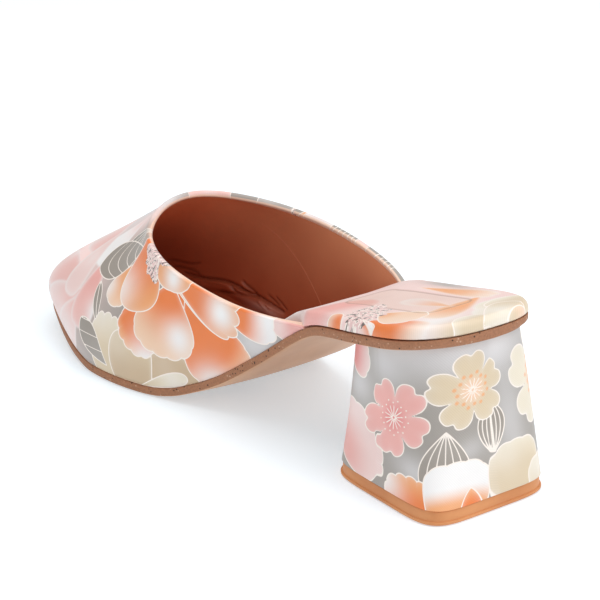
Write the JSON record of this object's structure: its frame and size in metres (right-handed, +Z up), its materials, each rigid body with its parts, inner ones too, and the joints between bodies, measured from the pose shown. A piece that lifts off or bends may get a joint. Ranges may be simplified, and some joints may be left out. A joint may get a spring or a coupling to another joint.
{
  "type": "block heel mule",
  "caption": "Slip-on women's mule with a closed toe, deep open throat, wrapped footbed and a flared block heel, covered in printed floral fabric.",
  "frame": {"origin": "middle of the shoe's bounding box, on the ground", "axes": "+X towards the toe, +Y towards the wearer's left, which is the inner side of this right shoe, +Z up"},
  "size_m": [0.2422, 0.0854, 0.0686],
  "materials": {
    "upper_fabric": "printed satin weave",
    "outsole": "waxed edge",
    "footbed_fabric": "printed satin weave",
    "heel_fabric": "printed satin weave",
    "top_lift": "satin"
  },
  "bodies": {
    "root": {"upper": "upper_fabric", "outsole": "outsole", "footbed": "footbed_fabric", "heel_block": "heel_fabric", "top_lift": "top_lift"}
  },
  "joints": []
}
